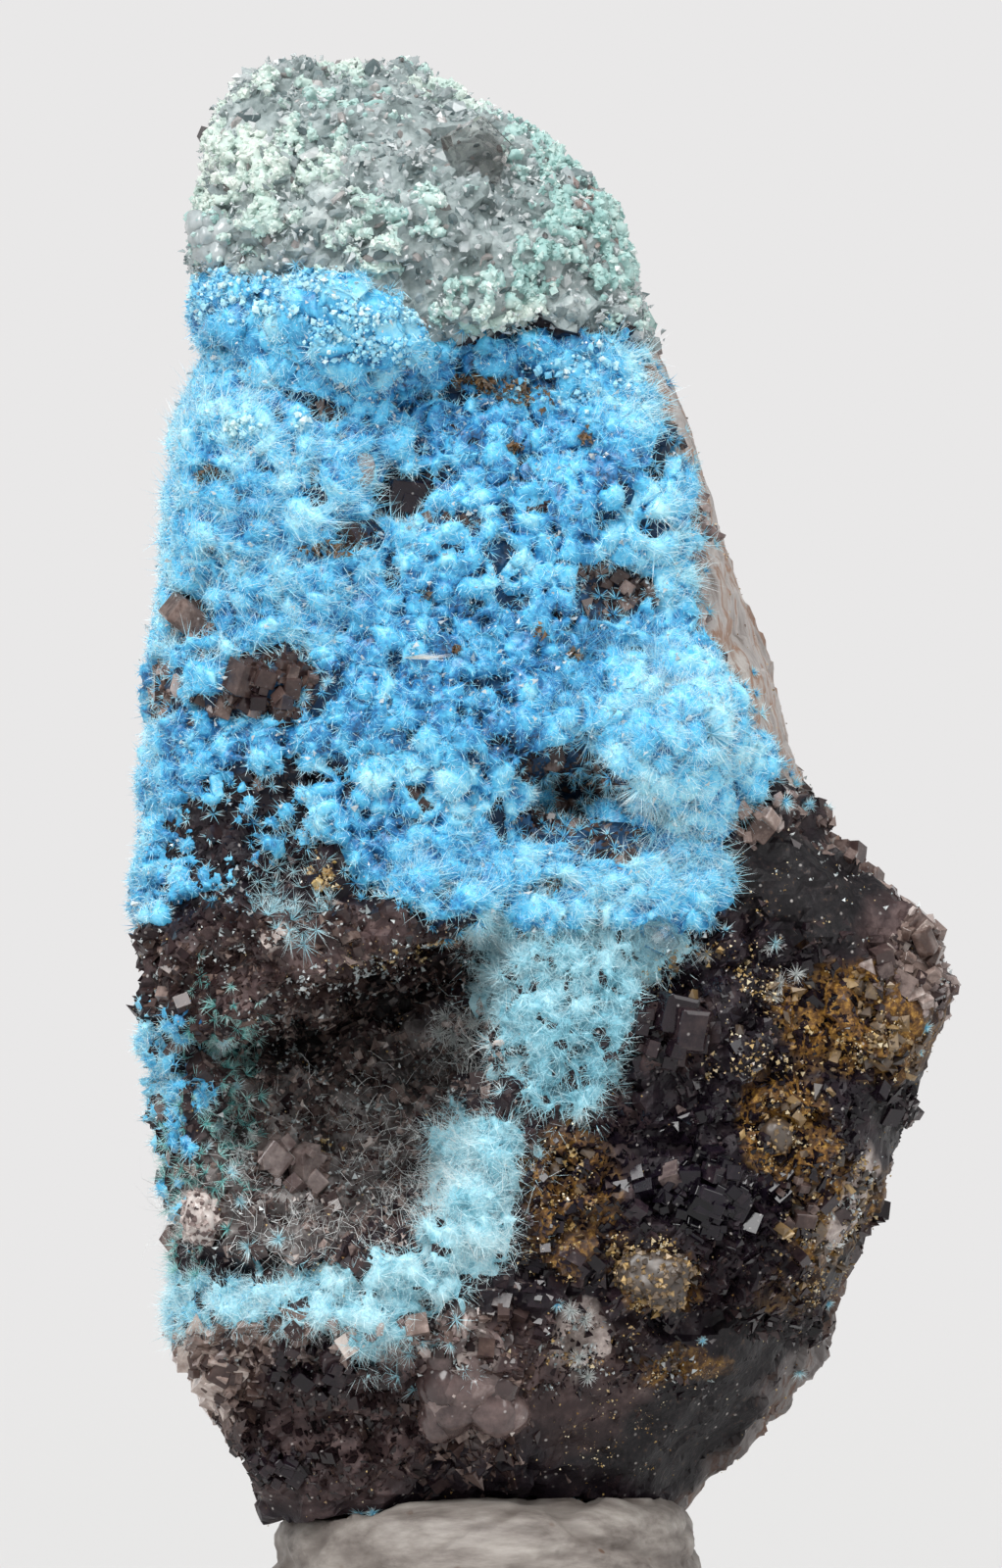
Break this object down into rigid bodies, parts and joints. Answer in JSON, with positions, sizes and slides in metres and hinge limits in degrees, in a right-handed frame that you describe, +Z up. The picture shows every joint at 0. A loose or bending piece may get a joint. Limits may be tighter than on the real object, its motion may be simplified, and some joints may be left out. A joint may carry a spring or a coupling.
{
  "type": "mineral specimen",
  "caption": "Upright shard of dark fluorite and quartz rock, coated in front with tufts of blue cyanotrichite needles, standing in a pad of pale putty.",
  "frame": {"origin": "centre of the putty pad's flat underside", "axes": "+Z up along the shard, +X to the right seen from the needle-coated front, -Y out of that front"},
  "size_m": [0.0255, 0.0184, 0.0509],
  "materials": {
    "matrix_rock": "broken and crystal-lined dark rock",
    "fluorite": "glassy dull purple-grey cubes",
    "quartz": "glassy milky grains and points",
    "clear_quartz": "clear glassy crystal faces",
    "limonite": "ochre to golden, waxy to metallic",
    "blue_needles": "silky needle tufts, azure at the root and pale at the tips",
    "aqua_needles": "silky pale aqua needle tufts",
    "green_crust": "dull granular mint crust over quartz",
    "putty": "soft matt putty with folds and specks"
  },
  "bodies": {
    "root": {"matrix": "matrix_rock", "smoky_fluorite_block": "fluorite", "pink_quartz_bead": "quartz", "grey_fluorite_cube": "fluorite", "left_fluorite_cluster": "fluorite", "left_edge_quartz": "quartz", "right_smoky_fluorite": "fluorite", "clear_quartz_crystal": "clear_quartz", "limonite_cube": "limonite", "right_fluorite_pair": "fluorite", "purple_fluorite_block": "fluorite", "right_edge_quartz": "quartz", "stepped_fluorite": "fluorite", "grey_fluorite_right": "fluorite", "limonite_ball": "limonite", "limonite_nodule": "limonite", "low_quartz_cluster": "quartz", "lower_left_fluorite": "fluorite", "lower_left_edge_fluorite": "fluorite", "left_foot_fluorite": "fluorite", "ledge_quartz": "quartz", "vug_quartz_crystal": "quartz", "vug_pale_nodule": "quartz", "cap_smoky_window": "clear_quartz", "cap_left_quartz": "quartz", "green_crust": "green_crust", "long_needle_tuft": "blue_needles", "cyanotrichite_mat": "blue_needles", "aqua_tuft": "aqua_needles", "aqua_band": "aqua_needles", "left_edge_mat": "blue_needles", "mounting_putty": "putty"}
  },
  "joints": []
}
